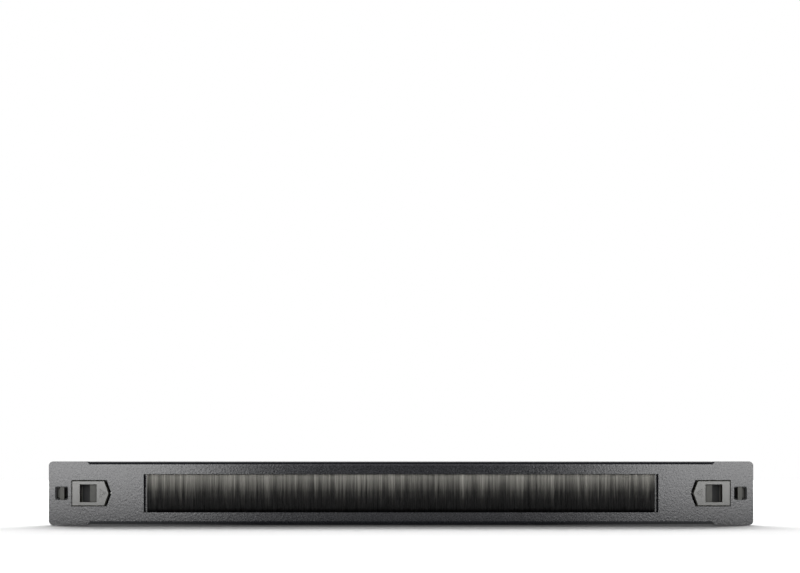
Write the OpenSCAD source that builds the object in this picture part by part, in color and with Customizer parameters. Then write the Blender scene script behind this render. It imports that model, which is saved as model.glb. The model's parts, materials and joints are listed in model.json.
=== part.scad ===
// Rack brush strip panel for a 19 inch rack, one unit high.
// A folded sheet with a brush across its window, and at each end a spring-loaded
// latch whose claw hooks behind the rack rail through a square hole.
// X runs along the panel, Y runs back into the rack and Z is up. The origin is at
// the middle of the panel, on the plane of the rail's front face.

/* [Panel] */
// Overall width of the panel, end to end
panel_w = 482.6; // [470:0.1:600]
// Overall height of the panel
panel_h = 43.65; // [43:0.05:60]
// Thickness of the sheet
sheet_t = 1.2; // [0.8:0.1:1.6]
// Depth of the top and bottom flanges, measured from the front face
flange_d = 15; // [14:0.5:30]
// Distance from each end of the panel to the end of its flanges
flange_inset = 28.3; // [26:0.1:32]
// Length over which each bend runs out into the flat ear
runout_l = 2.3; // [0.5:0.1:4]
// Inside radius of the bends
bend_r = 1.5; // [0.6:0.1:2]
// Corner radius of the ears
ear_r = 3; // [1:0.5:5]

/* [Brush window] */
// Width of the window in the sheet
window_w = 352.5; // [200:0.5:356]
// Height of the window in the sheet
window_h = 26.2; // [20:0.1:27]

/* [Rack holes] */
// Distance between the centres of the two rack holes
hole_pitch = 465.1; // [464:0.1:467]
// Width of the square hole in the rail
rail_hole = 9.5; // [9.4:0.1:10]
// Thickness of the rail's sheet
rail_t = 2; // [1.2:0.1:2.5]
// From the centre of the hole to the rail's inner edge
rail_edge = 7.55; // [7.2:0.05:8]
// Width of the inspection window in each ear
ear_window_w = 8.7; // [6:0.1:9]
// Height of the inspection window in each ear
ear_window_h = 9; // [6:0.1:9.1]
// Corner radius of the inspection window
ear_window_r = 1.2; // [0.2:0.1:2]

/* [Latch slider] */
// From the centre of the rack hole to the outer edge of the slider
slider_start = 6.8; // [6.4:0.1:7]
// Length of the slider to the tip of its point
slider_l = 25.85; // [24:0.05:27]
// Height of the slider
slider_h = 17.6; // [16:0.1:18.4]
// Length of the slider's point
point_l = 3.2; // [1:0.1:4]
// How far the slider stands out of the panel
slider_proud = 0.5; // [0:0.1:1]
// Bevel round the front of the slider
slider_bevel = 0.6; // [0.2:0.1:0.8]
// Inward travel of the slider, which unhooks the claw
travel = 1.4; // [1:0.1:1.6]
// Gap between the slider's sides and the sheet
slider_gap = 0.2; // [0.1:0.05:0.5]
// Gap left at the end of the slider's travel
stop_gap = 0.1; // [0.05:0.05:0.3]

/* [Finger well] */
// From the outer edge of the slider to the finger well
well_start = 5.7; // [5:0.1:6.5]
// Width of the finger well
well_w = 11.55; // [10:0.05:12]
// Height of the finger well
well_h = 12.2; // [10:0.1:12.6]
// Depth of the deep half of the well
well_d = 10; // [8:0.1:10.4]
// Width of the shallow half of the well
ledge_w = 5; // [4.5:0.1:5.5]
// Depth of the shallow half of the well
ledge_d = 3; // [2.5:0.1:4]
// Wall round the well
well_t = 1.2; // [0.8:0.1:1.4]
// Width of the lip at the foot of the outer wall
lip_w = 0.7; // [0.4:0.1:1]
// Distance from the well to the arrow engraved beside it
arrow_gap = 2.25; // [1.5:0.05:2.6]
// Length of the engraved arrow
arrow_l = 4.4; // [3:0.1:4.6]
// Height of the engraved arrow
arrow_h = 5.8; // [4:0.1:7]
// Width of the engraved line
arrow_line = 0.7; // [0.4:0.1:0.8]
// Depth of the engraved line
arrow_depth = 0.3; // [0.1:0.1:0.5]

/* [Claw] */
// Thickness of the slider's guide plate and of the yoke that carries the claw
yoke_t = 1.5; // [1:0.1:2]
// How far the guide plate reaches past the slider's face, above and below
guide_rim = 1.5; // [1:0.1:1.6]
// Play of the guide plate between the sheet and the housing
yoke_play = 0.15; // [0.1:0.05:0.3]
// Width of the claw's stem, seen from the front
stem_w = 3; // [2:0.1:3.2]
// From the centre of the rack hole to the middle of the stem, inwards
stem_u = 0.1; // [0:0.05:0.2]
// Gap round the stem inside the boss
stem_play = 0.3; // [0.2:0.05:0.4]
// Height of the yoke that carries the stem past the inspection window
yoke_h = 16; // [14:0.5:18]
// Height of each leg of the yoke
yoke_leg = 3; // [2:0.1:3.2]
// Gap between the rail and the claw
claw_gap = 0.3; // [0.2:0.05:0.5]
// How far the claw reaches past the edge of the rail's hole
catch = 0.9; // [0.6:0.05:1]
// Depth of the claw behind the rail
claw_d = 4; // [3:0.1:5]
// Depth of the claw's hooking edge
claw_lip = 1; // [0.6:0.1:1.5]
// Width of the claw beside its stem at its back end
claw_nose = 0.6; // [0.2:0.1:1]

/* [Latch housing] */
// Wall of the locating boss that enters the rail's hole
boss_t = 1; // [0.8:0.1:1.1]
// Gap between the boss and the rail's hole on each side
boss_gap = 0.15; // [0.1:0.05:0.3]
// Thickness of the housing's base
base_t = 3; // [2.4:0.1:4]
// Wall of the housing's box
box_t = 1.5; // [1:0.1:2]
// Length of the housing's base, inwards from the rail
base_l = 34.5; // [33.5:0.1:40]
// Gap round the slider inside the housing
well_play = 0.3; // [0.2:0.05:0.4]
// Space between the back of the well and the housing's floor
floor_gap = 2.2; // [1:0.1:2.4]
// Wall that the spring bears on
end_wall = 2.5; // [2:0.1:3]
// Space left between the slider's point and that wall at full travel
spring_room = 2.45; // [1:0.05:3]
// Space between the housing and the edge of the ear
pad_inset = 1; // [0.5:0.1:1.5]
// Distance from the rail's inner edge to the housing's box
rail_clear = 0.5; // [0.3:0.1:1]

/* [Springs and fasteners] */
// Outside diameter of the return spring
spring_od = 4.2; // [3:0.1:4.6]
// Wire diameter of the return spring
spring_wire = 0.5; // [0.4:0.05:0.6]
// Working turns of the return spring
spring_turns = 7; // [5:1:8]
// Depth of the spring's seat in the slider
seat_depth = 3.75; // [2:0.05:4]
// Gap round the spring in its seat
seat_play = 0.4; // [0.2:0.05:0.5]
// Diameter of the pin inside the spring
pin_d = 2; // [1.5:0.1:2.2]
// Gap between the pin and the slider at full travel
pin_gap = 0.6; // [0.3:0.1:1]
// Diameter of the pin's head
pin_head_d = 3.6; // [3:0.1:3.6]
// Thickness of the pin's head
pin_head_t = 0.8; // [0.5:0.1:1.2]
// Thread diameter of the weld studs
stud_d = 3; // [2.5:0.5:3]
// Length of the weld studs
stud_l = 8; // [7.5:0.5:9]
// Width of the nuts across their flats
nut_af = 5.5; // [5:0.1:5.5]
// Thickness of the nuts
nut_t = 2.4; // [1.8:0.1:2.4]
// Outside diameter of the washers
washer_d = 7; // [6:0.1:7]
// Thickness of the washers
washer_t = 0.5; // [0.3:0.1:0.8]
// From each end of the housing's base to its studs
stud_inset = 5; // [4.5:0.1:6]
// Gap of a stud in its hole, all round
stud_play = 0.2; // [0.1:0.05:0.3]

/* [Brush] */
// Length of the brush
brush_l = 349.4; // [190:0.1:349.6]
// Width of the brush's channel, front to back
channel_w = 5; // [4:0.1:6]
// Height of the channel
channel_h = 6.3; // [5:0.1:6.4]
// Wall of the channel
channel_t = 0.8; // [0.5:0.1:1]
// Gap between the channel and the top flange
channel_gap = 0.4; // [0.3:0.1:0.6]
// Diameter of the wire that the bristles are folded over
core_d = 1.2; // [0.8:0.1:1.6]
// How far the bristles hang below the window
bristle_over = 2.6; // [1:0.1:5]
// Distance between the tufts
tuft_pitch = 3.6; // [3:0.1:6]
// Front-to-back depth of a tuft at its tips
tuft_depth = 3.6; // [2.6:0.1:4]
// Difference in length from tuft to tuft
tuft_ragged = 0.7; // [0:0.1:1]
// Depth of the grooves between tufts at their tips
tuft_groove = 0.5; // [0.2:0.1:0.8]

/* [Retainer] */
// Thickness of the retainer's sheet
retainer_t = 1; // [0.8:0.1:1.2]
// Depth of the retainer's top leg
retainer_d = 8.4; // [8:0.1:9]
// How far the retainer runs past each end of the window
retainer_over = 5.25; // [4.5:0.05:6]
// Width of the legs that hang behind the ends of the brush
leg_w = 9.5; // [8:0.1:14]
// Number of studs that hold the retainer
retainer_studs = 5; // [3:1:9]
// How far the retainer can be pushed along its slots, each way
slot_slide = 0.8; // [0.4:0.1:1.2]
// From each end of the retainer to its last stud
stud_end = 21.5; // [12:0.1:40]

/* [Hidden] */
$fn = 48;
// How far a cutting shape runs past what it cuts
over = 1;

// Depths, from the rail's front face at Y = 0
layer_t = yoke_t + 2 * yoke_play;
sheet_back = -layer_t;
sheet_front = sheet_back - sheet_t;
half_w = panel_w / 2;
half_h = panel_h / 2;
bend_out = bend_r + sheet_t;
flange_back = sheet_front + flange_d;
flange_end = half_w - flange_inset;
inner_top = half_h - sheet_t;

// Along the latch: u = 0 is the centre of the rack hole, and u grows inwards
slider_end = slider_start + slider_l;
shoulder = slider_end - point_l;
well_u = slider_start + well_start;
well_end = well_u + well_w;
block_u = well_end - ledge_w;
block_end = well_end + well_t;
slider_front = sheet_front - slider_proud;
guide_front = sheet_back + yoke_play;
guide_back = guide_front + yoke_t;
well_back = slider_front + well_d;
guide_h = slider_h + 2 * guide_rim;
box_u = rail_edge + rail_clear;
base_end = box_u + base_l;
cavity_end = slider_end + travel + spring_room;
cavity_h = well_h + 2 * (well_t + well_play);
track_h = guide_h + 2 * well_play;
box_back = well_back + floor_gap + box_t;
base_back = sheet_back + base_t;
base_h = panel_h - 2 * (bend_out + well_play);
pad_h = panel_h - 2 * pad_inset;
pad_start = half_w - hole_pitch / 2 - pad_inset;

// The claw and the boss round it
boss_w = rail_hole - 2 * boss_gap;
boss_in = boss_w - 2 * boss_t;
stem_h = boss_in - 2 * stem_play;
claw_front = rail_t + claw_gap;
claw_back = claw_front + claw_d;
claw_reach = rail_hole / 2 + catch;
boss_back = claw_back + 2 * stem_play + boss_t;

// The spring, on its pin, behind the well's block
spring_y = (guide_back + well_back) / 2;
seat_d = spring_od + 2 * seat_play;
spring_start = block_end - seat_depth;
spring_l = cavity_end - spring_start;
pin_end = spring_start + travel + pin_gap;

stud_u = [box_u + stud_inset, base_end - stud_inset];
stud_z = (base_h / 2 + track_h / 2 + box_t) / 2;

// The brush: its channel stands against the sheet, above the window
channel_top = inner_top - channel_gap;
channel_y = sheet_back + channel_w / 2;
core_z = channel_top - channel_w / 2;
channel_bottom = channel_top - channel_h;
// Gap between the bristles' root, the channel and the core wire
fibre_play = 0.05;
root_w = channel_w - 2 * channel_t - 2 * fibre_play;
tip_z = -window_h / 2 - bristle_over;
tuft_count = floor(brush_l / tuft_pitch);
tuft_step = brush_l / tuft_count;

retainer_l = window_w + 2 * retainer_over;
retainer_front = sheet_back + channel_w;
retainer_stud_y = retainer_front + retainer_t + (retainer_d - retainer_t) / 2;
retainer_stud_step = (retainer_l - 2 * stud_end) / (retainer_studs - 1);

// Carries a section, drawn with Y across and Z up, along X
module along_x(length) {
    rotate([90, 0, 90]) linear_extrude(length, center = true) children();
}

// Carries a section, drawn with X across and Z up, from one depth to another
module back_from(y0, y1) {
    translate([0, y1, 0]) rotate([90, 0, 0]) linear_extrude(y1 - y0) children();
}

module round_rect(w, h, r) {
    square([w - 2 * r, h], center = true);
    square([w, h - 2 * r], center = true);
    for (x = [-1, 1], y = [-1, 1])
        translate([x * (w / 2 - r), y * (h / 2 - r)]) circle(r);
}

// Rectangle from u0 to u1, centred on Z = 0
module span(u0, u1, h) {
    translate([u0, -h / 2]) square([u1 - u0, h]);
}

// Places what follows on the left or the right rack hole
module at_side(side) {
    if (side == "left") translate([-hole_pitch / 2, 0, 0]) children();
    else mirror([1, 0, 0]) translate([-hole_pitch / 2, 0, 0]) children();
}

// Outline of the slider, a rectangle with a point of the same slope at any height
module slider_outline(u0, u1, h) {
    slope = point_l / slider_h * h;
    polygon([[u0, -h / 2], [u1 - slope, -h / 2], [u1, 0], [u1 - slope, h / 2], [u0, h / 2]]);
}

// ---- panel ----

// Channel section of the sheet, open at the back
module sheet_section() {
    difference() {
        channel_fill(sheet_front, half_h, bend_out);
        channel_fill(sheet_back, inner_top, bend_r, over);
    }
}

// Rectangle from y0 back to the flange's edge, with its two front corners rounded
module channel_fill(y0, h, r, past = 0) {
    difference() {
        translate([y0, -h]) square([flange_back + past - y0, 2 * h]);
        for (s = [-1, 1])
            difference() {
                translate([y0 - r, s > 0 ? h - r : -h - r]) square(2 * r);
                translate([y0 + r, s * (h - r)]) circle(r);
                translate([y0 + r, -h - 2 * r]) square([2 * r, 2 * h + 4 * r]);
            }
    }
}

// The end of a bend, where its radius fades into the flat ear
module bend_runout() {
    slice = 0.02;
    difference() {
        hull() {
            translate([flange_end, 0, 0]) rotate([90, 0, 90]) linear_extrude(slice)
                intersection() {
                    translate([sheet_front + bend_out, half_h - bend_out]) circle(bend_out, $fn = 32);
                    translate([sheet_front, half_h - bend_out]) square(bend_out);
                }
            translate([flange_end + runout_l - slice, sheet_front, half_h - bend_out])
                cube([slice, sheet_t, bend_out]);
        }
        translate([flange_end - over, sheet_back + bend_r, half_h - bend_out]) rotate([0, 90, 0])
            cylinder(h = runout_l + 2 * over, r = bend_r);
    }
}

module latch_cutout() {
    slider_outline(slider_start - stop_gap, slider_end + travel + stop_gap, slider_h + 2 * slider_gap);
}

module front_panel() {
    color([0.16, 0.165, 0.18])
    difference() {
        union() {
            along_x(2 * flange_end) sheet_section();
            for (side = [0, 1]) mirror([side, 0, 0]) {
                back_from(sheet_front, sheet_back) ear_outline();
                for (s = [0, 1]) mirror([0, 0, s]) bend_runout();
            }
        }
        back_from(sheet_front - over, sheet_back + over) square([window_w, window_h], center = true);
        for (side = ["left", "right"]) at_side(side) back_from(sheet_front - over, sheet_back + over) {
            round_rect(ear_window_w, ear_window_h, ear_window_r);
            latch_cutout();
        }
    }
}

// The flat ear beyond the flanges, with its two outer corners rounded
module ear_outline() {
    start = flange_end + runout_l;
    difference() {
        union() {
            translate([start, -half_h]) square([half_w - start, panel_h]);
            translate([flange_end, -half_h + bend_out]) square([runout_l, panel_h - 2 * bend_out]);
        }
        for (s = [-1, 1])
            difference() {
                translate([half_w - ear_r, s > 0 ? half_h - ear_r : -half_h]) square(ear_r);
                translate([half_w - ear_r, s * (half_h - ear_r)]) circle(ear_r);
            }
    }
}

// ---- brush ----

// U section with a round top, open downwards, grown inwards by t
module channel_section(t, drop = 0) {
    translate([channel_y, core_z]) circle(channel_w / 2 - t);
    translate([channel_y - channel_w / 2 + t, channel_bottom - drop])
        square([channel_w - 2 * t, core_z - channel_bottom + drop]);
}

module brush_channel() {
    color([0.5, 0.51, 0.53]) along_x(brush_l) difference() {
        channel_section(0);
        channel_section(channel_t, over);
    }
}

module brush_core_wire() {
    color([0.62, 0.63, 0.65]) translate([-brush_l / 2, channel_y, core_z]) rotate([0, 90, 0])
        cylinder(h = brush_l, d = core_d);
}

// A fixed scatter between -1 and 1 for tuft number i
function scatter(i) = let (v = sin(i * 127.1 + 31.7) * 43.7) 2 * (v - floor(v)) - 1;

// Columns of the curtain: the even ones lie between two tufts, the odd ones along a tuft
columns = 2 * tuft_count;
// Rows of the curtain, from the channel's mouth down to the tips
rows = 3;

function curtain_x(i, row) =
    -brush_l / 2 + (i + (row < 2 || i == 0 || i == columns ? 0 : 0.12 * row * scatter(i))) * tuft_step / 2;

function curtain_z(i, row) =
    row == 0 ? channel_bottom + 0.5
    : row == 1 ? channel_bottom - 1
    : row == 2 ? (channel_bottom + tip_z) / 2
    : tip_z + (i % 2 == 0 ? tuft_ragged : 0.5 * tuft_ragged * scatter(i + 50));

// Half depth of the curtain, where the grooves between tufts deepen downwards
function curtain_half(i, row) =
    let (spread = max(0, row - 1) / (rows - 1), straight = root_w / 2 - 0.05)
    straight + spread * (tuft_depth / 2 - straight - (i % 2 == 0 ? tuft_groove : 0));

// Number of a point: side 0 is the front and side 1 the back
function curtain_at(side, row, i) = (side * (rows + 1) + row) * (columns + 1) + i;

module curtain() {
    points = [for (side = [-1, 1], row = [0:rows], i = [0:columns])
        [curtain_x(i, row), channel_y + side * curtain_half(i, row), curtain_z(i, row)]];
    front = [for (row = [0:rows - 1], i = [0:columns - 1])
        [curtain_at(0, row, i), curtain_at(0, row, i + 1), curtain_at(0, row + 1, i + 1), curtain_at(0, row + 1, i)]];
    back = [for (row = [0:rows - 1], i = [0:columns - 1])
        [curtain_at(1, row + 1, i), curtain_at(1, row + 1, i + 1), curtain_at(1, row, i + 1), curtain_at(1, row, i)]];
    top = [for (i = [0:columns - 1])
        [curtain_at(1, 0, i), curtain_at(1, 0, i + 1), curtain_at(0, 0, i + 1), curtain_at(0, 0, i)]];
    tips = [for (i = [0:columns - 1])
        [curtain_at(0, rows, i), curtain_at(0, rows, i + 1), curtain_at(1, rows, i + 1), curtain_at(1, rows, i)]];
    left = [for (row = [0:rows]) curtain_at(0, row, 0), for (row = [rows:-1:0]) curtain_at(1, row, 0)];
    right = [for (row = [0:rows]) curtain_at(1, row, columns), for (row = [rows:-1:0]) curtain_at(0, row, columns)];
    split = [for (q = concat(front, back, top, tips), t = [[0, 1, 2], [0, 2, 3]]) [q[t[0]], q[t[1]], q[t[2]]]];
    polyhedron(points, concat(split, [left, right]));
}

module brush_bristles() {
    color([0.09, 0.09, 0.1]) {
        along_x(brush_l) difference() {
            channel_section(channel_t + fibre_play);
            translate([channel_y, core_z]) circle(core_d / 2 + fibre_play);
        }
        curtain();
    }
}

// ---- retainer ----

module at_retainer_studs() {
    for (i = [0:retainer_studs - 1])
        translate([-retainer_l / 2 + stud_end + i * retainer_stud_step, retainer_stud_y, 0]) children();
}

module retainer_stud_group() {
    color([0.6, 0.6, 0.6]) at_retainer_studs() translate([0, 0, inner_top - stud_l])
        cylinder(h = stud_l, d = stud_d);
}

// An angle that clamps the channel, with a leg at each end behind the brush
module brush_retainer() {
    color([0.14, 0.145, 0.15]) difference() {
        union() {
            along_x(retainer_l) {
                translate([retainer_front, inner_top - retainer_t]) square([retainer_d, retainer_t]);
                translate([retainer_front, channel_bottom]) square([retainer_t, inner_top - channel_bottom]);
            }
            for (side = [0, 1]) mirror([side, 0, 0])
                translate([retainer_l / 2 - leg_w, retainer_front, tip_z])
                    cube([leg_w, retainer_t, inner_top - tip_z]);
        }
        // slots that let it be pushed against the channel
        at_retainer_studs() for (y = [-slot_slide, 0, slot_slide])
            translate([0, y, inner_top - retainer_t - over])
                cylinder(h = retainer_t + 2 * over, d = stud_d + 2 * stud_play);
    }
}

module washer() {
    difference() {
        cylinder(h = washer_t, d = washer_d);
        translate([0, 0, -over]) cylinder(h = washer_t + 2 * over, d = stud_d + 2 * stud_play);
    }
}

module nut() {
    difference() {
        cylinder(h = nut_t, d = nut_af / cos(30), $fn = 6);
        translate([0, 0, -over]) cylinder(h = nut_t + 2 * over, d = stud_d + 0.02);
    }
}

module retainer_washer_group() {
    color([0.7, 0.7, 0.7]) at_retainer_studs()
        translate([0, 0, inner_top - retainer_t - washer_t]) washer();
}

module retainer_nut_group() {
    color([0.7, 0.68, 0.6]) at_retainer_studs()
        translate([0, 0, inner_top - retainer_t - washer_t - nut_t]) nut();
}

// ---- latch ----

module arrow_mark() {
    tail = well_end + arrow_gap;
    inset = arrow_line * sqrt(1 + pow(2 * arrow_l / arrow_h, 2));
    difference() {
        polygon([[tail, -arrow_h / 2], [tail + arrow_l, 0], [tail, arrow_h / 2]]);
        polygon([[tail + arrow_line, -(arrow_l - arrow_line - inset) * arrow_h / arrow_l / 2],
                 [tail + arrow_l - inset, 0],
                 [tail + arrow_line, (arrow_l - arrow_line - inset) * arrow_h / arrow_l / 2]]);
    }
}

// The part of the slider that shows, with its front edges bevelled
module slider_face() {
    hull() {
        back_from(slider_front, slider_front + 0.01)
            slider_outline(slider_start + slider_bevel, slider_end - slider_bevel, slider_h - 2 * slider_bevel);
        back_from(slider_front + slider_bevel, guide_front) slider_outline(slider_start, slider_end, slider_h);
    }
    back_from(guide_front, guide_back) slider_outline(slider_start, slider_end, slider_h);
}

// The yoke behind the ear: two legs past the inspection window, and a bar across it
module yoke_outline() {
    difference() {
        span(stem_u - stem_w / 2, slider_start + over, yoke_h);
        span(stem_u + stem_w / 2, slider_start, yoke_h - 2 * yoke_leg);
    }
}

// Claw in plan, X across and Y up: a stem, and a wedge that faces outwards
module claw_plan() {
    root = stem_u - stem_w / 2;
    polygon([
        [root, guide_front], [root + stem_w, guide_front], [root + stem_w, claw_back],
        [root - claw_nose, claw_back], [-claw_reach, claw_front + claw_lip], [-claw_reach, claw_front],
        [root, claw_front]
    ]);
}

module latch_slider() {
    difference() {
        union() {
            slider_face();
            back_from(guide_front, guide_back) span(slider_start, shoulder, guide_h);
            back_from(guide_front, guide_back) yoke_outline();
            back_from(guide_front, well_back) span(well_u - well_t, block_end, well_h + 2 * well_t);
            linear_extrude(stem_h, center = true) claw_plan();
        }
        // the shallow half of the well, then the deep half
        back_from(slider_front - over, slider_front + ledge_d) span(well_u, well_end, well_h);
        back_from(slider_front - over, well_back - lip_w) span(well_u, block_u, well_h);
        back_from(slider_front, well_back + over) span(well_u + lip_w, block_u, well_h);
        back_from(slider_front - over, slider_front + arrow_depth) arrow_mark();
        translate([spring_start, spring_y, 0]) rotate([0, 90, 0]) cylinder(h = seat_depth + over, d = seat_d);
    }
}

module at_housing_studs() {
    for (u = stud_u, z = [-stud_z, stud_z]) translate([u, sheet_back, z]) rotate([-90, 0, 0]) children();
}

// Body of the housing before its hollows: ear pad, base, box and locating boss
module housing_body() {
    back_from(sheet_back, 0) translate([(box_u - pad_start) / 2, 0])
        round_rect(box_u + pad_start, pad_h, ear_r - pad_inset);
    back_from(sheet_back, base_back) span(box_u, base_end, base_h);
    back_from(sheet_back, box_back) span(box_u, cavity_end + end_wall, cavity_h + 2 * box_t);
    back_from(sheet_back, boss_back) span(-boss_w / 2, boss_w / 2, boss_w);
}

module latch_housing() {
    difference() {
        housing_body();
        // the track of the guide plate, then the slot of the yoke
        back_from(sheet_back - over, 0) span(slider_start - 2 * stop_gap, cavity_end, track_h);
        back_from(sheet_back - over, 0)
            span(stem_u - stem_w / 2 - stem_play, slider_start, yoke_h + 2 * well_play);
        back_from(sheet_back - over, box_back - box_t) span(box_u + box_t, cavity_end, cavity_h);
        // inside of the boss, open outwards behind the rail for the claw
        back_from(sheet_back - over, boss_back - boss_t) span(-boss_in / 2, boss_in / 2, boss_in);
        back_from(rail_t + 0.1, boss_back - boss_t) span(-boss_w, 0, boss_in);
        translate([cavity_end - over, spring_y, 0]) rotate([0, 90, 0])
            cylinder(h = end_wall + 2 * over, d = pin_d + 0.02);
        at_housing_studs() translate([0, 0, -over])
            cylinder(h = base_t + 2 * over, d = stud_d + 2 * stud_play);
    }
}

// Path of the spring's wire: closed end turns and open working turns between them
function spring_point(a, turns, lead) =
    let (n = a / 360, free = max(0, min(turns - 2, n - 1)))
    [lead + (n - free) * spring_wire * 1.04 + free * (spring_l - spring_wire - 2 * spring_wire * 1.04) / (turns - 2),
     (spring_od - spring_wire) / 2 * cos(a), (spring_od - spring_wire) / 2 * sin(a)];

module latch_spring() {
    turns = spring_turns + 2;
    step = 24;
    sides = 6;
    rings = turns * 360 / step;
    lead = spring_wire / 2;
    points = [for (j = [0:rings], k = [0:sides - 1])
        let (a = j * step, p = spring_point(a, turns, lead), r = spring_wire / 2, b = 360 / sides * k)
        p + [r * sin(b), r * cos(b) * cos(a), r * cos(b) * sin(a)]];
    translate([spring_start, spring_y, 0])
        polyhedron(points, concat(
            [[for (k = [0:sides - 1]) sides - 1 - k]],
            [for (j = [0:rings - 1], k = [0:sides - 1])
                [j * sides + k, j * sides + (k + 1) % sides, (j + 1) * sides + (k + 1) % sides, (j + 1) * sides + k]],
            [[for (k = [0:sides - 1]) rings * sides + k]]));
}

module spring_pin() {
    translate([pin_end, spring_y, 0]) rotate([0, 90, 0]) {
        cylinder(h = cavity_end + end_wall - pin_end, d = pin_d);
        translate([0, 0, cavity_end + end_wall - pin_end]) cylinder(h = pin_head_t, d = pin_head_d);
    }
}

module housing_part(side) { color([0.05, 0.05, 0.055]) at_side(side) latch_housing(); }
module slider_part(side) { color([0.5, 0.5, 0.47]) at_side(side) latch_slider(); }
module spring_part(side) { color([0.7, 0.7, 0.72]) at_side(side) latch_spring(); }
module pin_part(side) { color([0.6, 0.6, 0.62]) at_side(side) spring_pin(); }

module housing_studs(side) {
    color([0.6, 0.6, 0.6]) at_side(side) at_housing_studs() cylinder(h = stud_l, d = stud_d);
}

module housing_washers(side) {
    color([0.7, 0.7, 0.7]) at_side(side) at_housing_studs() translate([0, 0, base_t]) washer();
}

module housing_nuts(side) {
    color([0.7, 0.68, 0.6]) at_side(side) at_housing_studs() translate([0, 0, base_t + washer_t]) nut();
}

front_panel();
retainer_stud_group();  // retainer_studs
brush_retainer();
retainer_washer_group();  // retainer_washers
retainer_nut_group();  // retainer_nuts
brush_channel();
brush_core_wire();
brush_bristles();
housing_part("left");  // latch_housing_left
slider_part("left");  // latch_slider_left
spring_part("left");  // latch_spring_left
pin_part("left");  // spring_pin_left
housing_studs("left");  // housing_studs_left
housing_washers("left");  // housing_washers_left
housing_nuts("left");  // housing_nuts_left
housing_part("right");  // latch_housing_right
slider_part("right");  // latch_slider_right
spring_part("right");  // latch_spring_right
pin_part("right");  // spring_pin_right
housing_studs("right");  // housing_studs_right
housing_washers("right");  // housing_washers_right
housing_nuts("right");  // housing_nuts_right
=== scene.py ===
import json
import math

import bpy
import numpy as np
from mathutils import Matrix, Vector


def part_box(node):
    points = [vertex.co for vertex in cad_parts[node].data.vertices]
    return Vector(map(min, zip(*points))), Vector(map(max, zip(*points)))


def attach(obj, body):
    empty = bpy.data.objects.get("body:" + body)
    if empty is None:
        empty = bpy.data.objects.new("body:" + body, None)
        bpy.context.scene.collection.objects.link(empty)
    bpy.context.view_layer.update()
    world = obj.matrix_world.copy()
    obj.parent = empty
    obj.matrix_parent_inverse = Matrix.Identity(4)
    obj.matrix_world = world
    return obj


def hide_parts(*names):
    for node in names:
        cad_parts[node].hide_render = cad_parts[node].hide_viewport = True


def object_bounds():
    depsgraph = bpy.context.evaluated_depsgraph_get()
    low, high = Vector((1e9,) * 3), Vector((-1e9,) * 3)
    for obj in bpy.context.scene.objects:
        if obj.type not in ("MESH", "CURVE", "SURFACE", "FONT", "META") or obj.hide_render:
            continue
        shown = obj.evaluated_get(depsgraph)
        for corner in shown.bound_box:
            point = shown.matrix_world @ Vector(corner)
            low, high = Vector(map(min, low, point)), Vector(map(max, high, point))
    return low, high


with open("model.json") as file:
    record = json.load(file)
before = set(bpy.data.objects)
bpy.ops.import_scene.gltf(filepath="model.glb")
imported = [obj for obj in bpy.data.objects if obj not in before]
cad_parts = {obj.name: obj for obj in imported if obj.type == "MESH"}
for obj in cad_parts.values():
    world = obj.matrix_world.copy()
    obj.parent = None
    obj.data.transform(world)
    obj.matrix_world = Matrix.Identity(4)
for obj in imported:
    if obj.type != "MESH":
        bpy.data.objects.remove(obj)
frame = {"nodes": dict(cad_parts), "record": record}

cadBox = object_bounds()
mm = 0.001
rng = np.random.default_rng(19)


# A new material with its plain values on the shader's own sockets
def look(name, colour, roughness, metallic=0.0, specular=0.5):
    mat = bpy.data.materials.new(name)
    mat.use_nodes = True
    shader = mat.node_tree.nodes["Principled BSDF"]
    shader.inputs["Base Color"].default_value = (*colour, 1)
    shader.inputs["Roughness"].default_value = roughness
    shader.inputs["Metallic"].default_value = metallic
    shader.inputs["Specular IOR Level"].default_value = specular
    return mat, mat.node_tree, shader


# Noise in the object's own coordinates, scale in features per metre
def objectNoise(tree, scale, detail=2.0, roughness=0.5):
    coords = tree.nodes.new("ShaderNodeTexCoord")
    noise = tree.nodes.new("ShaderNodeTexNoise")
    noise.inputs["Scale"].default_value = scale
    noise.inputs["Detail"].default_value = detail
    noise.inputs["Roughness"].default_value = roughness
    tree.links.new(coords.outputs["Object"], noise.inputs["Vector"])
    return noise.outputs["Fac"]


# Colour ramp of a grey signal, from one colour at low to another at high
def ramp(tree, signal, low, high, fromColour, toColour):
    node = tree.nodes.new("ShaderNodeValToRGB")
    for element, place, colour in zip(node.color_ramp.elements, (low, high), (fromColour, toColour)):
        element.position = place
        element.color = (*colour, 1)
    tree.links.new(signal, node.inputs["Fac"])
    return node.outputs["Color"]


# Chains bumps of (signal, strength, distance) over an edge rounded to the given radius
def roundedBump(tree, shader, signals, edge):
    bevel = tree.nodes.new("ShaderNodeBevel")
    bevel.samples = 6
    bevel.inputs["Radius"].default_value = edge
    normal = bevel.outputs["Normal"]
    for signal, strength, distance in signals:
        bump = tree.nodes.new("ShaderNodeBump")
        bump.inputs["Strength"].default_value = strength
        bump.inputs["Distance"].default_value = distance
        tree.links.new(signal, bump.inputs["Height"])
        tree.links.new(normal, bump.inputs["Normal"])
        normal = bump.outputs["Normal"]
    tree.links.new(normal, shader.inputs["Normal"])


# One Math node on a signal and a second signal or a number
def mathNode(tree, operation, first, second=None):
    node = tree.nodes.new("ShaderNodeMath")
    node.operation = operation
    tree.links.new(first, node.inputs[0])
    if isinstance(second, float):
        node.inputs[1].default_value = second
    elif second is not None:
        tree.links.new(second, node.inputs[1])
    return node.outputs[0]


# Straight line from one range to another, held level outside it
def mapped(tree, signal, source, target):
    node = tree.nodes.new("ShaderNodeMapRange")
    node.inputs["From Min"].default_value, node.inputs["From Max"].default_value = source
    node.inputs["To Min"].default_value, node.inputs["To Max"].default_value = target
    tree.links.new(signal, node.inputs["Value"])
    return node.outputs["Result"]


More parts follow.
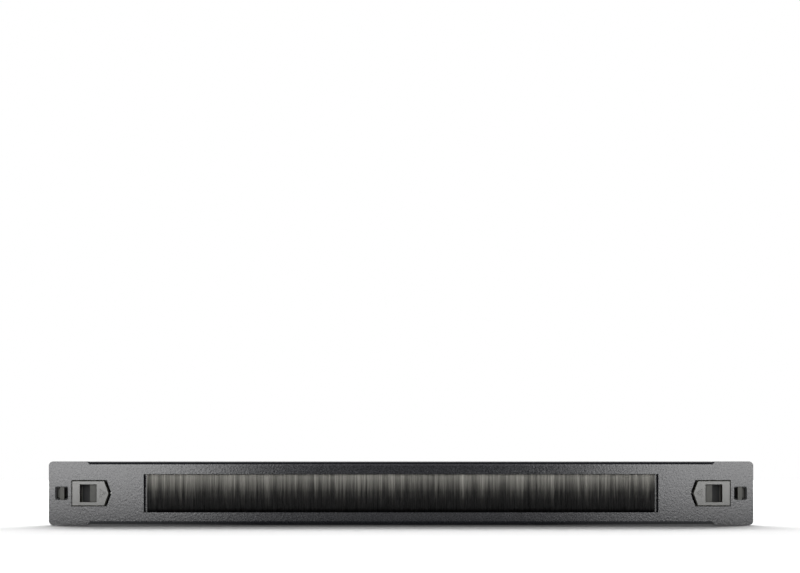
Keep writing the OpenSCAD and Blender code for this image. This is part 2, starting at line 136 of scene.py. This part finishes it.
def tint(colour, factor):
    return tuple(min(1.0, c * factor) for c in colour)


sheetCoat = {
    "colour": (0.0085, 0.0088, 0.0112),
    "roughness": 0.16,
    "specular": 0.42,
    "peel": 620,         # orange peel, features per metre
    "peelDepth": 0.05 * mm,
    "speck": 1500,       # grains of the powder
    "speckDepth": 0.02 * mm,
    "relief": 0.8,       # strength of both bumps
    "edge": 0.3 * mm,
}


# Powder coat: orange peel and grains in the bump, grains in the tone and gloss too
def powderCoat(name, values, shade=1.0):
    colour = tint(values["colour"], shade)
    mat, tree, shader = look(name, colour, values["roughness"], specular=values["specular"])
    peel = objectNoise(tree, values["peel"], 2.0, 0.55)
    speck = objectNoise(tree, values["speck"], 2.0, 0.6)
    tone = ramp(tree, speck, 0.35, 0.7, tint(colour, 0.6), tint(colour, 1.7))
    gloss = ramp(tree, speck, 0.3, 0.7, (values["roughness"] * 0.8,) * 3,
                 (values["roughness"] * 1.3,) * 3)
    tree.links.new(tone, shader.inputs["Base Color"])
    tree.links.new(gloss, shader.inputs["Roughness"])
    bumps = [(peel, values["relief"], values["peelDepth"]),
             (speck, values["relief"], values["speckDepth"])]
    roundedBump(tree, shader, bumps, values["edge"])
    return mat


castPaint = {
    "colour": (0.024, 0.0238, 0.0185),
    "roughness": 0.2,
    "hollowRoughness": 0.55,      # inside the finger well, where the paint is thin
    "hollowDepth": 1.2 * mm,
    "hollowBlend": 0.2 * mm,      # to either side of that depth
    "specular": 0.55,
    "wave": 300,         # waviness of the casting, features per metre
    "waveDepth": 0.05 * mm,
    "speck": 2000,
    "edge": 0.2 * mm,
}


# Smooth paint over a die casting, slightly warmer than the sheet
def paintedCasting(name, values):
    mat, tree, shader = look(name, values["colour"], values["roughness"], specular=values["specular"])
    wave = objectNoise(tree, values["wave"], 2.0, 0.5)
    speck = objectNoise(tree, values["speck"], 1.0, 0.5)
    tree.links.new(ramp(tree, wave, 0.3, 0.7, tint(values["colour"], 0.8), tint(values["colour"], 1.2)),
                   shader.inputs["Base Color"])
    coords = tree.nodes.new("ShaderNodeTexCoord")
    split = tree.nodes.new("ShaderNodeSeparateXYZ")
    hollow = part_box("latch_slider_left")[0][1] + values["hollowDepth"]
    tree.links.new(coords.outputs["Object"], split.inputs[0])
    blend = values["hollowBlend"]
    depth = mapped(tree, split.outputs["Y"], (hollow - blend, hollow + blend),
                   (values["roughness"], values["hollowRoughness"]))
    tree.links.new(depth, shader.inputs["Roughness"])
    roundedBump(tree, shader, [(wave, 0.3, values["waveDepth"]), (speck, 0.3, 0.01 * mm)], values["edge"])
    return mat


mouldedNylon = {
    "colour": (0.006, 0.006, 0.0068),
    "roughness": 0.55,
    "specular": 0.3,
    "grain": 3000,       # spark-eroded grain of the mould, features per metre
    "edge": 0.2 * mm,
}


def mouldedBlack(name, values):
    mat, tree, shader = look(name, values["colour"], values["roughness"], specular=values["specular"])
    grain = objectNoise(tree, values["grain"], 2.0, 0.6)
    tree.links.new(ramp(tree, grain, 0.3, 0.7, tint(values["colour"], 0.75), tint(values["colour"], 1.35)),
                   shader.inputs["Base Color"])
    roundedBump(tree, shader, [(grain, 0.3, 0.02 * mm)], values["edge"])
    return mat


plating = {
    "galvanised": {"colour": (0.5, 0.51, 0.53), "roughness": 0.4, "cloud": 160},
    "zinc_steel": {"colour": (0.55, 0.55, 0.53), "roughness": 0.32, "cloud": 320},
    "spring_steel": {"colour": (0.55, 0.55, 0.57), "roughness": 0.25, "cloud": 500},
}


# Plated steel: clouds in both tone and gloss
def platedSteel(name, values):
    colour, roughness = values["colour"], values["roughness"]
    mat, tree, shader = look(name, colour, roughness, metallic=1.0)
    cloud = objectNoise(tree, values["cloud"], 3.0, 0.6)
    tree.links.new(ramp(tree, cloud, 0.3, 0.7, tint(colour, 0.8), tint(colour, 1.12)),
                   shader.inputs["Base Color"])
    tree.links.new(ramp(tree, cloud, 0.3, 0.7, (roughness * 0.85,) * 3, (roughness * 1.25,) * 3),
                   shader.inputs["Roughness"])
    roundedBump(tree, shader, [(cloud, 0.15, 0.02 * mm)], 0.15 * mm)
    return mat


# Black nylon with a painted highlight on the upper part of each filament: a per-point attribute lifts the
# colour towards pale grey
def nylonFilament(name):
    mat, tree, shader = look(name, (0.02, 0.02, 0.02), 0.45, specular=0.25)
    tone = tree.nodes.new("ShaderNodeAttribute")
    tone.attribute_name = "paintedFibreHighlight"
    # painted highlight: the colour rises from near black to a pale grey where the attribute is high
    tree.links.new(ramp(tree, tone.outputs["Fac"], 0.0, 1.0, (0.0012, 0.0012, 0.0013), (0.5, 0.485, 0.44)),
                   shader.inputs["Base Color"])
    return mat


finishes = {
    "powder_coat": powderCoat("blackPowderCoat", sheetCoat),
    "retainer_coat": powderCoat("retainerCoat", sheetCoat, 0.8),
    "slider_coat": paintedCasting("sliderPaint", castPaint),
    "housing_plastic": mouldedBlack("housingNylon", mouldedNylon),
    "nylon_bristle": nylonFilament("bristleNylon"),
}
for slot, values in plating.items():
    finishes[slot] = platedSteel(slot + "Plating", values)
for part in frame["record"]["subparts"]:
    node = frame["nodes"][part["node"]]
    node.data.materials.clear()
    node.data.materials.append(finishes[part["material_slot"]])
print("finishes done")


brush = {
    "tuftPitch": 3.6 * mm,
    "rootHalf": 1.55 * mm,     # half depth of the brush at its channel
    "tipHalf": 1.6 * mm,       # half depth at the tips
    "swell": 0.45 * mm,        # how far the filaments swell forwards; the solid has no swell
    "swellDrop": 8 * mm,       # from the channel down to the swell
    "hangBack": 0.15 * mm,     # how far back the tips hang
    "ragged": 0.9 * mm,        # scatter in length
    "strand": 1.1 * mm,        # width of a strand of filaments that share a painted highlight strength
    "paintedHighlightReach": 9.6 * mm,     # how far down the painted highlight on the upper part reaches
    "reachRange": (0.78, 0.44),    # least share of that reach, and what a strand with a long painted highlight adds
    "reachScatter": 0.08,
    "highlightFadePower": 2.3,          # how sharply the painted highlight ends
    "leastHighlight": 0.55,         # dullest filament's share of the full painted highlight
    "segments": 6,
    "wander": 0.35 * mm,       # sideways scatter of the tips
    "gather": 0.4,             # share of its way to the tuft's middle that a tip is drawn
}
# rows of filaments across the brush: share of the half depth, filaments in a row, thickness,
# and how loose they hang
brushRows = {
    "bristles_front": ((-1.0, -0.86, -0.72, -0.56), 1300, 0.27 * mm, 1.0),
    "bristles_middle": ((-0.36, -0.12, 0.12, 0.36), 820, 0.6 * mm, 0.1),
    "bristles_rear": ((0.56, 0.72, 0.86, 1.0), 1300, 0.27 * mm, 1.0),
}


# 0 down to the swell, then up to 1 at the tips
def spreadAt(drop, hang, values):
    return np.clip((drop - values["swellDrop"]) / (hang - values["swellDrop"]), 0, 1)


# Middle of the brush: a quarter sine forwards down to the swell, then a quarter cosine back
def middleAt(drop, hang, values):
    forward = values["swell"] * np.sin(math.pi / 2 * np.clip(drop / values["swellDrop"], 0, 1))
    back = (values["swell"] + values["hangBack"]) * (1 - np.cos(math.pi / 2 * spreadAt(drop, hang, values)))
    return back - forward


# Three-sided tubes down a grid of paths: each path follows the middle of the brush at its
# own share of the depth, and is drawn towards the middle of its tuft, lower down
def filaments(name, rows, perRow, thick, loose, values):
    low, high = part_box("brush_bristles")
    channelLow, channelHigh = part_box("brush_channel")
    middleY = (channelLow[1] + channelHigh[1]) / 2
    mouth = channelLow[2]
    hang = mouth - low[2]
    length = high[0] - low[0]
    tufts = math.floor(length / values["tuftPitch"])
    pitch = length / tufts
    count = len(rows) * perRow
    share = np.repeat(rows, perRow) + rng.normal(0, 0.04, count)
    jitter = rng.uniform(-0.5, 0.5, count) * loose + np.repeat(np.arange(len(rows)) % 2 / 2, perRow)
    along = (np.tile(np.arange(perRow) + 0.25, len(rows)) + jitter) / perRow
    x0 = low[0] + thick + (length - 2 * thick) * along
    tuftMiddle = low[0] + (np.floor((x0 - low[0]) / pitch) + 0.5) * pitch
    tuft = np.minimum(((x0 - low[0]) / pitch).astype(int), tufts)
    lean = rng.normal(0, 0.3, tufts + 1)[tuft] * mm
    draw = loose * values["gather"] * rng.uniform(0.2, 1.0, count) * (tuftMiddle - x0)
    stray = loose * (rng.normal(0, values["wander"], count) + lean)
    strands = round(length / values["strand"])
    top = -0.4 * mm
    bottom = hang - rng.uniform(0, values["ragged"], count)
    t = np.linspace(0, 1, values["segments"] + 1)[None, :] ** 1.15
    drop = top + (bottom[:, None] - top) * t
    spread = spreadAt(drop, hang, values)
    half = values["rootHalf"] + spread * (values["tipHalf"] - values["rootHalf"]) - thick / 2
    pathX = x0[:, None] + draw[:, None] * spread + stray[:, None] * t ** 1.5
    end = high[0] - thick - 0.5 * mm * rng.uniform(0, 1, count)[:, None]
    pathX = np.clip(pathX, -end, end)
    pathY = middleY + middleAt(drop, hang, values) + np.clip(share, -1, 1)[:, None] * half
    pathZ = mouth - drop
    angle = np.arange(3) * 2 * math.pi / 3
    turn = rng.uniform(0, 2 * math.pi, count)[:, None, None]
    radius = (thick / 2 * (1 - 0.3 * t ** 3))[:, :, None]
    ringX = pathX[:, :, None] + radius * np.cos(angle + turn)
    ringY = pathY[:, :, None] + radius * np.sin(angle + turn)
    ringZ = np.broadcast_to(pathZ[:, :, None], ringX.shape)
    points = np.stack([ringX, ringY, ringZ], axis=-1).reshape(-1, 3)
    rings = values["segments"] + 1
    here = (np.arange(count) * rings * 3)[:, None, None] + (np.arange(rings - 1) * 3)[None, :, None]
    side = np.arange(3)[None, None, :]
    after = (side + 1) % 3
    walls = np.stack([here + side, here + 3 + side, here + 3 + after, here + after], axis=-1).reshape(-1, 4)
    first = (np.arange(count) * rings * 3)[:, None] + np.arange(3)[None, :]
    last = first[:, ::-1] + (rings - 1) * 3
    mesh = bpy.data.meshes.new(name)
    mesh.from_pydata(points.tolist(), [], walls.tolist() + first.tolist() + last.tolist())
    mesh.polygons.foreach_set("use_smooth", np.repeat([True, False], [len(walls), 2 * count]))
    # the painted highlight falls off as exp(-(drop / reach)^power), with a reach of each filament's own; it
    # stands in for the sheen of light on the upper filaments
    strand = np.interp(x0, np.linspace(low[0], high[0], strands), rng.uniform(0, 1, strands))
    least, added = values["reachRange"]
    reach = values["paintedHighlightReach"] * (least + added * strand) * rng.normal(1, values["reachScatter"], count)
    fade = np.exp(-(np.maximum(drop, 0) / reach[:, None]) ** values["highlightFadePower"])
    dark = values["leastHighlight"]
    each = rng.uniform(dark, 1.0, count) * (dark + (1 - dark) * rng.permutation(strand) ** 0.5)
    # painted highlight: each filament's share of it, faded down from the top
    tone = np.clip(fade * (each * (0.5 + 0.5 * strand))[:, None], 0, 1)
    # the painted highlight per point, which the bristle material reads as a paler colour
    highlightLayer = mesh.attributes.new("paintedFibreHighlight", "FLOAT", "POINT")
    highlightLayer.data.foreach_set("value", np.repeat(tone, 3, axis=1).ravel())
    mesh.materials.append(finishes["nylon_bristle"])
    piece = bpy.data.objects.new(name, mesh)
    bpy.context.scene.collection.objects.link(piece)
    return piece


for name, (rows, perRow, thick, loose) in brushRows.items():
    piece = filaments(name, rows, perRow, thick, loose, brush)
    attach(piece, "panel")
    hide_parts("brush_bristles")
print("brush done")


table = {
    "halfWidth": 5.0,
    "front": -0.52,      # the table's edges, out of sight from the front
    "back": 1.25,
    "colour": (0.9, 0.9, 0.9),
    "glow": 0.03,        # what the paper adds where it is seen directly or in a reflection
    "frontGlow": 0.5,    # the same at its front edge, far from the lamps
    "frontRange": (-0.42, -0.14),    # from one to the other along Y
    "paintedReflectionGlow": 0.9,     # a painted reflection: glow seen in reflections alone, towards and past the panel's ends, which brightens the reflection at the panel's lower ends
    "paintedReflectionRange": (0.10, 0.27),       # from none to all of it, outwards along X
}


# Flat sheet under the object, wider at the back than the view
def tableTop(values):
    z = cadBox[0][2]
    corners = [(-values["halfWidth"], values["front"], z), (values["halfWidth"], values["front"], z),
               (values["halfWidth"], values["back"], z), (-values["halfWidth"], values["back"], z)]
    mesh = bpy.data.meshes.new("tableTop")
    mesh.from_pydata(corners, [], [(0, 1, 2, 3)])
    obj = bpy.data.objects.new("tableTop", mesh)
    bpy.context.scene.collection.objects.link(obj)
    return obj


# One for camera, glossy and transmission rays, and nought for the rest
def seenRays(tree):
    path = tree.nodes.new("ShaderNodeLightPath")
    total = path.outputs["Is Camera Ray"]
    for name in ("Is Glossy Ray", "Is Transmission Ray"):
        total = mathNode(tree, "MAXIMUM", total, path.outputs[name])
    return total, path


# Matt paper with a little glow for the rays that see it, and a further glow that only reflections see: a
# painted reflection on the lower ends of the panel
def whitePaper(values):
    mat = bpy.data.materials.new("whitePaper")
    mat.use_nodes = True
    tree = mat.node_tree
    tree.nodes.clear()
    out = tree.nodes.new("ShaderNodeOutputMaterial")
    paper = tree.nodes.new("ShaderNodeBsdfDiffuse")
    paper.inputs["Color"].default_value = (*values["colour"], 1)
    glow = tree.nodes.new("ShaderNodeEmission")
    both = tree.nodes.new("ShaderNodeAddShader")
    coords = tree.nodes.new("ShaderNodeTexCoord")
    split = tree.nodes.new("ShaderNodeSeparateXYZ")
    tree.links.new(coords.outputs["Object"], split.inputs[0])
    seen, path = seenRays(tree)
    outwards = mathNode(tree, "ABSOLUTE", split.outputs["X"])
    front = mapped(tree, split.outputs["Y"], values["frontRange"], (values["frontGlow"], values["glow"]))
    # painted reflection: glow towards the panel's ends that only glossy rays see
    side = mapped(tree, outwards, values["paintedReflectionRange"], (0, values["paintedReflectionGlow"]))
    reflected = mathNode(tree, "MULTIPLY", side, path.outputs["Is Glossy Ray"])
    strength = mathNode(tree, "ADD", mathNode(tree, "MULTIPLY", front, seen), reflected)
    tree.links.new(strength, glow.inputs["Strength"])
    tree.links.new(paper.outputs[0], both.inputs[0])
    tree.links.new(glow.outputs[0], both.inputs[1])
    tree.links.new(both.outputs[0], out.inputs["Surface"])
    return mat


floor = tableTop(table)
floor.data.materials.append(whitePaper(table))

room = {
    "dim": 0.06,         # the unlit room
    "white": 1.0,        # the backdrop, seen directly, or in a reflection that looks back
}


# White to the camera, and to reflections that look towards the back
def studioWorld(values):
    world = bpy.data.worlds.new("studio")
    world.use_nodes = True
    tree = world.node_tree
    tree.nodes.clear()
    out = tree.nodes.new("ShaderNodeOutputWorld")
    dim = tree.nodes.new("ShaderNodeBackground")
    dim.inputs["Strength"].default_value = values["dim"]
    white = tree.nodes.new("ShaderNodeBackground")
    white.inputs["Color"].default_value = (1, 1, 1, 1)
    white.inputs["Strength"].default_value = values["white"]
    coords = tree.nodes.new("ShaderNodeTexCoord")
    split = tree.nodes.new("ShaderNodeSeparateXYZ")
    mix = tree.nodes.new("ShaderNodeMixShader")
    seen, path = seenRays(tree)
    tree.links.new(coords.outputs["Generated"], split.inputs[0])
    behind = mathNode(tree, "GREATER_THAN", split.outputs["Y"], 0.0)
    reflected = mathNode(tree, "MULTIPLY", seen, behind)
    shown = mathNode(tree, "MAXIMUM", reflected, path.outputs["Is Camera Ray"])
    tree.links.new(shown, mix.inputs["Fac"])
    tree.links.new(dim.outputs[0], mix.inputs[1])
    tree.links.new(white.outputs[0], mix.inputs[2])
    tree.links.new(mix.outputs[0], out.inputs["Surface"])
    return world


bpy.context.scene.world = studioWorld(room)
print("table and room done")

# each lamp: middle, width, height, brightness of its face, and what it lights
lamps = {
    "boxLeft": ((-0.49, -1.5, 0.30), 0.46, 0.80, 9.5, "object"),
    "boxRight": ((0.52, -1.5, 0.30), 0.46, 0.80, 8.8, "object"),
    "frontFill": ((0, -1.6, 0.52), 2.2, 0.85, 1.1, "object"),
    "backLow": ((0, 2.6, 1.3), 6.0, 1.4, 10.5, "table"),
    "backHigh": ((0, 1.3, 1.9), 4.0, 1.1, 1.9, "table"),
    "backFill": ((0, 1.4, 0.9), 2.4, 1.2, 1.6, "object"),
}


# An area lamp whose watts follow from its face's brightness: pi times the area times the
# brightness. It is turned to the object, but a low one in front stays level
def hangLamp(name, place, width, height, brightness, lights):
    lamp = bpy.data.lights.new(name, "AREA")
    lamp.shape = "RECTANGLE"
    lamp.size = width
    lamp.size_y = height
    lamp.energy = math.pi * width * height * brightness
    obj = bpy.data.objects.new(name, lamp)
    bpy.context.scene.collection.objects.link(obj)
    inFront = place[1] < 0
    level = inFront and place[2] < 0.5
    pitch = 0 if level else -math.atan2(place[2], abs(place[1]))
    obj.location = place
    obj.rotation_euler = (math.pi / 2 + pitch, 0, 0 if inFront else math.pi)
    obj.visible_camera = False
    receivers = bpy.data.collections.new(name + "Lights")
    receivers.objects.link(floor)
    link = receivers.collection_objects[0].light_linking
    link.link_state = "INCLUDE" if lights == "table" else "EXCLUDE"
    obj.light_linking.receiver_collection = receivers


for name, values in lamps.items():
    hangLamp(name, *values)
print("lamps done")


shot = {
    "distance": 1.5,
    "span": 0.5481,      # width of the view at the panel's face
    "height": 0.045,
    "shiftX": -0.0013,
    "shiftY": 0.1764,
}
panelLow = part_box("front_panel")[0]
lens = bpy.data.cameras.new("camera")
lens.sensor_width = 36
lens.lens = lens.sensor_width * shot["distance"] / shot["span"]
lens.shift_x = shot["shiftX"]
lens.shift_y = shot["shiftY"]
lens.clip_end = 50
camera = bpy.data.objects.new("camera", lens)
camera.location = (0, panelLow[1] - shot["distance"], shot["height"])
camera.rotation_euler = (math.pi / 2, 0, 0)
bpy.context.scene.collection.objects.link(camera)
bpy.context.scene.camera = camera
bpy.context.scene.view_settings.view_transform = "Standard"
